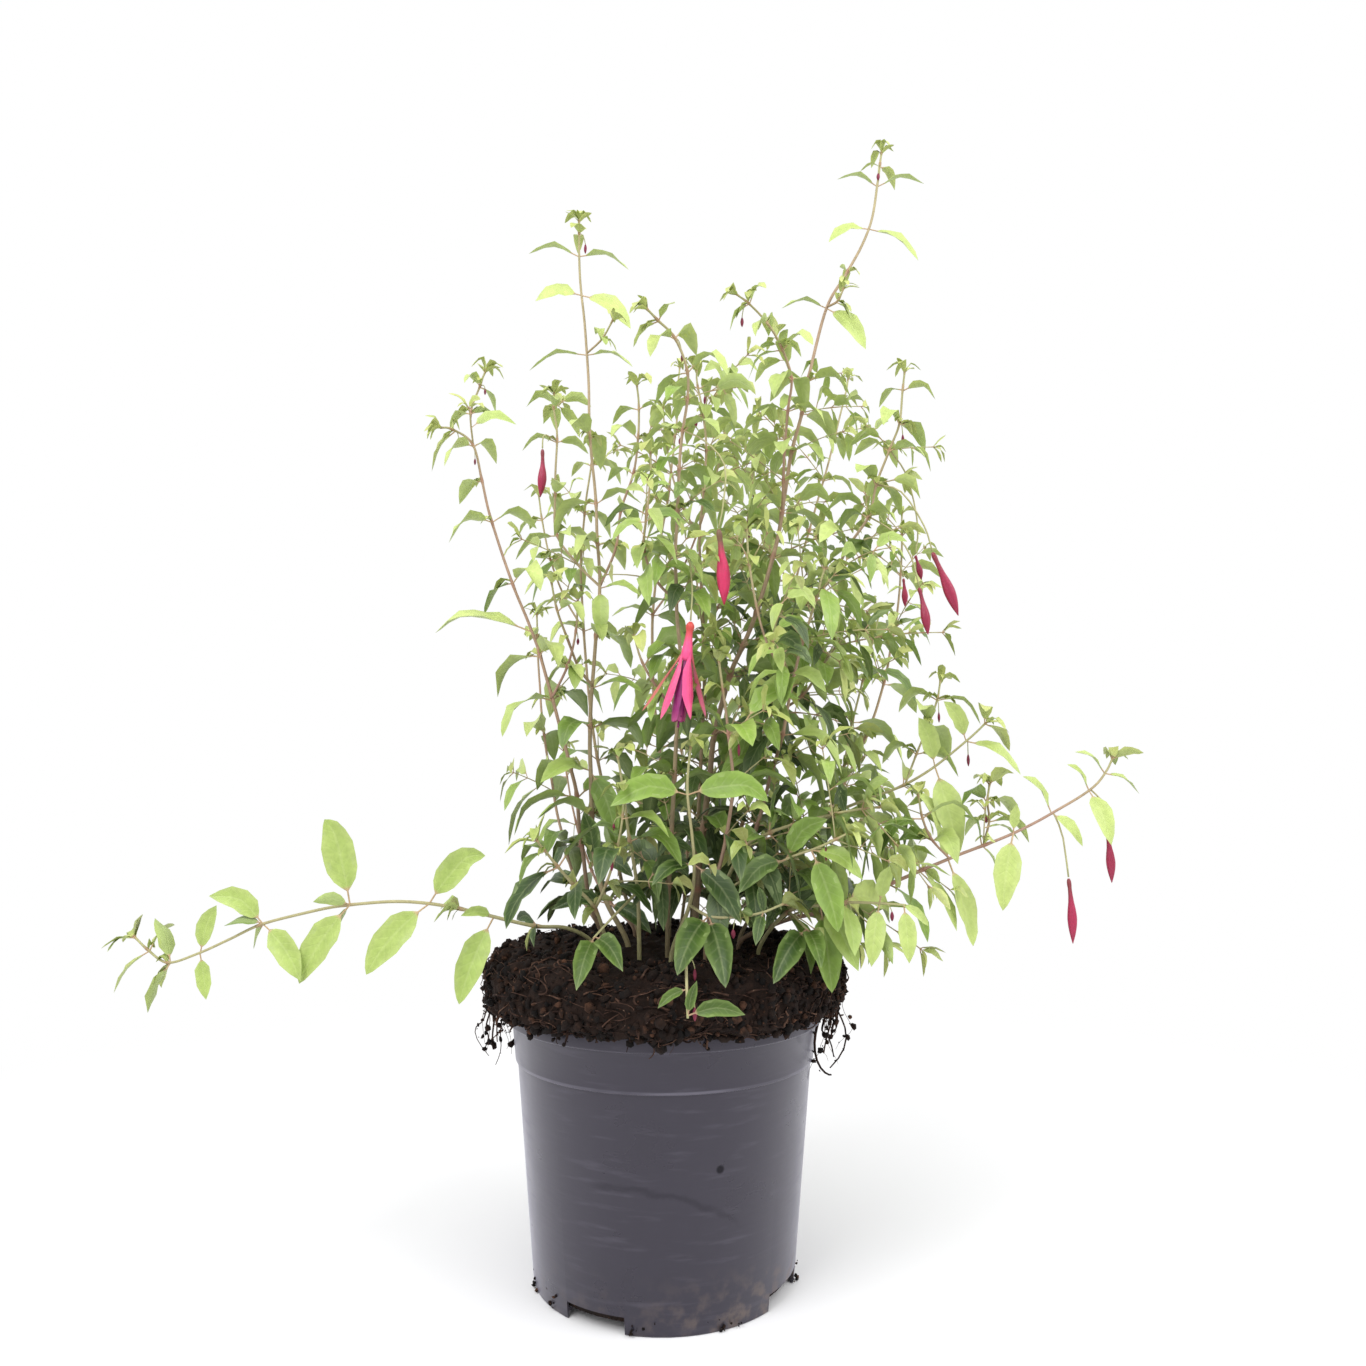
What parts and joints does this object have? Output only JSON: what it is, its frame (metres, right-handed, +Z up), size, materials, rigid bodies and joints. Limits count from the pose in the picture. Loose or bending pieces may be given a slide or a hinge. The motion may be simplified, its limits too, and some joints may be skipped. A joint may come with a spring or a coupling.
{
  "type": "potted fuchsia plant",
  "caption": "Bushy fuchsia shrub with arching leafy shoots, hanging buds and one open flower, in a filled tapered black nursery pot with a rim lip and drain notches.",
  "frame": {"origin": "middle of the pot's foot, on the plane that it stands on", "axes": "+Z up along the pot's axis, +Y away from the front view, +X to the right of the front view"},
  "size_m": [0.5986, 0.294, 0.7384],
  "materials": {
    "pot_plastic": "satin",
    "peat": "matte",
    "foliage": "satin",
    "pink_petal": "satin",
    "crimson_petal": "satin",
    "purple_petal": "satin"
  },
  "bodies": {
    "root": {"pot": "pot_plastic", "soil": "peat", "shoot_tall_left": "foliage", "shoot_far_left": "foliage", "shoot_tall_right": "foliage", "shoot_middle": "foliage", "shoot_inner_right": "foliage", "shoot_front_small": "foliage", "shoot_low_right": "foliage", "shoot_long_right": "foliage", "shoot_trailing_left": "foliage", "shoot_mid_right": "foliage", "shoot_low_left": "foliage", "shoot_low_far_right": "foliage", "shoot_fill_right": "foliage", "shoot_front_mid": "foliage", "shoot_front_left": "foliage", "shoot_back_left": "foliage", "shoot_back_middle": "foliage", "shoot_back_right": "foliage", "shoot_back_far_left": "foliage", "shoot_back_far_right": "foliage", "shoot_back_low": "foliage", "shoot_back_low_left": "foliage", "shoot_back_low_right": "foliage", "shoot_rim_sprout": "foliage", "bud_left": "crimson_petal", "bud_right_large": "crimson_petal", "bud_right_low": "crimson_petal", "bud_right_high": "crimson_petal", "bud_right_small": "crimson_petal", "bud_pink": "pink_petal", "bud_far_right_low": "crimson_petal", "bud_far_right_high": "crimson_petal", "flower_tube_and_sepals": "pink_petal", "flower_corolla": "purple_petal"}
  },
  "joints": []
}
